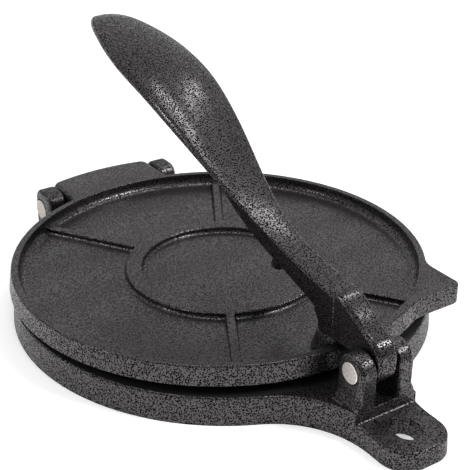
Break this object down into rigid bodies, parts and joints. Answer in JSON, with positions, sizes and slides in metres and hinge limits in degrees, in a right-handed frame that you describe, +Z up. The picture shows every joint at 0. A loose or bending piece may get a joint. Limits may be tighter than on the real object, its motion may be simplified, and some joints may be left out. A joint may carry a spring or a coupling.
{
  "type": "tortilla press",
  "caption": "Round cast iron tortilla press with a hinged ribbed top plate, a long curved press lever and a hanging tab.",
  "frame": {"origin": "centre of the round base on the flat underside it rests on", "axes": "+Z up, +Y towards the plate's hinge, -Y towards the lever's pivot and the hanging tab, X along both hinge pins"},
  "size_m": [0.2058, 0.2844, 0.1189],
  "materials": {
    "casting": "dark grey hammered coat",
    "pin": "bright plated"
  },
  "bodies": {
    "base": {"base_plate": "casting", "hinge_pin": "pin", "lever_pin": "pin"},
    "plate": {"press_plate": "casting"},
    "lever": {"lever_handle": "casting"}
  },
  "joints": [
    {"name": "lever_pivot", "type": "hinge", "parent": "base", "child": "lever", "pos_m": [0, -0.1169, 0.0294], "axis": [1, 0, 0], "range_deg": [0, 155]},
    {"name": "plate_hinge", "type": "hinge", "parent": "base", "child": "plate", "pos_m": [0, 0.1195, 0.0118], "axis": [-1, 0, 0], "range_deg": [0, 15.5]}
  ],
  "couplings": [
    {"joint": "plate_hinge", "follows": "lever_pivot", "ratio": 0.1}
  ]
}
